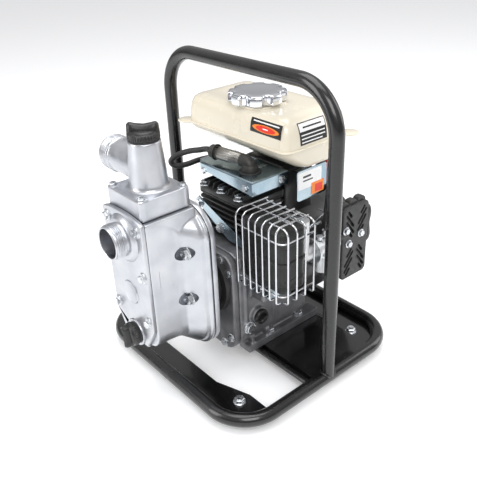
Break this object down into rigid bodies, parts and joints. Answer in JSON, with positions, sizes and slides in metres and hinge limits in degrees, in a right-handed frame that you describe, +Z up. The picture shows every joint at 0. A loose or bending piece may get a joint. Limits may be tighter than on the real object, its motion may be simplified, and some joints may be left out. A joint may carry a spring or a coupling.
{
  "type": "portable fire pump",
  "caption": "Petrol-driven self-priming water pump in a tube frame: finned engine with recoil starter, fuel tank and caged muffler beside a cast pump with threaded inlet and outlet.",
  "frame": {"origin": "on the ground under the middle of the overall length and width", "axes": "+Z up, +X along the crankshaft from the pump end to the recoil starter, -Y towards the muffler side"},
  "size_m": [0.406, 0.364, 0.453],
  "materials": {
    "frame_paint": "gloss black powder coat",
    "bed_paint": "gloss black paint",
    "rubber": "moulded black rubber",
    "zinc_bolt": "bright zinc-plated steel",
    "pump_alloy": "satin die-cast aluminium",
    "gasket": "black sheet gasket",
    "bracket_iron": "dark painted casting",
    "bronze": "cast bronze",
    "seal_carbon": "carbon seal face",
    "seal_ceramic": "white ceramic seal seat",
    "black_plastic": "moulded black plastic",
    "crankcase_alloy": "grey painted die casting",
    "cylinder_black": "black painted cast iron",
    "blue_zinc": "blue-passivated zinc sheet",
    "plug_steel": "nickel-plated steel",
    "boot_rubber": "black rubber with a metal sleeve",
    "lead_rubber": "black ignition cable",
    "coil_black": "potted ignition coil",
    "steel": "machined steel",
    "piston_alloy": "machined aluminium",
    "flywheel_alloy": "cast aluminium",
    "shell_black": "satin black pressed steel",
    "reel_nylon": "natural nylon",
    "tank_cream": "gloss cream enamel",
    "chrome": "bright chrome plate",
    "tap_alloy": "die-cast zinc alloy",
    "red_plastic": "red plastic",
    "carb_alloy": "die-cast carburettor body",
    "cleaner_plastic": "textured black plastic",
    "muffler_black": "heat-proof matt black",
    "guard_wire": "bright plated wire"
  },
  "bodies": {
    "root": {"base_loop": "frame_paint", "roll_hoop": "frame_paint", "front_foot_plate": "bed_paint", "rear_foot_plate": "bed_paint", "engine_bed": "bed_paint", "cross_rail": "frame_paint", "rubber_feet": "rubber", "foot_bolts": "zinc_bolt", "engine_bolts": "zinc_bolt", "front_cover": "pump_alloy", "cover_gasket": "gasket", "pump_casing": "pump_alloy", "volute": "pump_alloy", "back_plate": "pump_alloy", "pump_bracket": "bracket_iron", "outlet_tower": "pump_alloy", "seal_seat": "seal_ceramic", "cover_bolts": "zinc_bolt", "tower_screws": "zinc_bolt", "casing_bolts": "zinc_bolt", "crankcase": "crankcase_alloy", "crankcase_cover": "crankcase_alloy", "cylinder": "cylinder_black", "cylinder_head": "cylinder_black", "shroud": "blue_zinc", "strap_bracket": "blue_zinc", "spark_plug": "plug_steel", "plug_cap": "boot_rubber", "ignition_lead": "lead_rubber", "ignition_coil": "coil_black", "crank_bearings": "steel", "fan_housing": "shell_black", "recoil_cover": "shell_black", "fuel_tank": "tank_cream", "fuel_tap": "tap_alloy", "carburettor": "carb_alloy", "air_cleaner": "cleaner_plastic", "cleaner_cover": "cleaner_plastic", "muffler": "muffler_black", "muffler_guard": "guard_wire", "drain_bolt": "zinc_bolt", "bracket_bolts": "zinc_bolt"},
    "crank": {"crankshaft": "steel", "flywheel": "flywheel_alloy", "starter_cup": "steel", "impeller": "bronze", "seal_ring": "seal_carbon"},
    "piston_body": {"piston": "piston_alloy"},
    "flap_body": {"inlet_flap": "rubber"},
    "grip_body": {"starter_grip": "black_plastic"},
    "reel_body": {"starter_reel": "reel_nylon"},
    "fuel_cap_body": {"fuel_cap": "chrome"},
    "priming_seal_body": {"priming_seal": "gasket"},
    "priming_plug_body": {"priming_plug": "black_plastic"},
    "drain_seal_body": {"drain_seal": "gasket"},
    "drain_plug_body": {"drain_plug": "black_plastic"},
    "oil_cap_body": {"oil_cap": "black_plastic"},
    "throttle_body": {"throttle_lever": "zinc_bolt"},
    "choke_body": {"choke_lever": "black_plastic"},
    "tap_body": {"tap_lever": "red_plastic"}
  },
  "joints": [
    {"name": "crank_spin", "type": "hinge", "parent": "root", "child": "crank", "pos_m": [0.023, -0.004, 0.15], "axis": [1, 0, 0], "continuous": true},
    {"name": "piston_slide", "type": "slide", "parent": "root", "child": "piston_body", "axis": [0, 0, 1], "range_m": [0, 0.041]},
    {"name": "flap_swing", "type": "hinge", "parent": "root", "child": "flap_body", "pos_m": [-0.1695, -0.004, 0.282], "axis": [0, -1, 0], "range_deg": [0, 30]},
    {"name": "starter_pull", "type": "slide", "parent": "root", "child": "grip_body", "axis": [0, -1, 0], "range_m": [0, 0.55], "stiffness_N_per_m": 20, "springref_m": -0.2},
    {"name": "reel_turn", "type": "hinge", "parent": "root", "child": "reel_body", "pos_m": [0.193, -0.004, 0.15], "axis": [1, 0, 0], "range_deg": [0, 932]},
    {"name": "fuel_cap_turn", "type": "hinge", "parent": "root", "child": "fuel_cap_body", "pos_m": [0.067, 0.01, 0.386], "axis": [0, 0, 1], "range_deg": [0, 90]},
    {"name": "priming_rise", "type": "slide", "parent": "root", "child": "priming_seal_body", "axis": [0, 0, 1], "range_m": [0, 0.016]},
    {"name": "priming_turn", "type": "hinge", "parent": "priming_seal_body", "child": "priming_plug_body", "pos_m": [-0.133, -0.004, 0.382], "axis": [0, 0, 1], "range_deg": [0, 1080]},
    {"name": "drain_out", "type": "slide", "parent": "root", "child": "drain_seal_body", "axis": [-1, 0, 0], "range_m": [0, 0.016]},
    {"name": "drain_turn", "type": "hinge", "parent": "drain_seal_body", "child": "drain_plug_body", "pos_m": [-0.181, -0.004, 0.114], "axis": [-1, 0, 0], "range_deg": [0, 1080]},
    {"name": "oil_cap_turn", "type": "hinge", "parent": "root", "child": "oil_cap_body", "pos_m": [-0.008, -0.07, 0.091], "axis": [0, -1, 0], "range_deg": [0, 90]},
    {"name": "throttle_turn", "type": "hinge", "parent": "root", "child": "throttle_body", "pos_m": [0.075, -0.107, 0.204], "axis": [0, 0, 1], "range_deg": [0, 70]},
    {"name": "choke_turn", "type": "hinge", "parent": "root", "child": "choke_body", "pos_m": [0.097, -0.107, 0.204], "axis": [0, 0, 1], "range_deg": [0, 70]},
    {"name": "tap_turn", "type": "hinge", "parent": "root", "child": "tap_body", "pos_m": [0.123, -0.076, 0.298], "axis": [0, -1, 0], "range_deg": [0, 90]}
  ],
  "couplings": [
    {"joint": "reel_turn", "follows": "starter_pull", "rad_per_m": 29.412},
    {"joint": "priming_rise", "follows": "priming_turn", "m_per_rad": 0.0007958},
    {"joint": "drain_out", "follows": "drain_turn", "m_per_rad": 0.0007958}
  ]
}
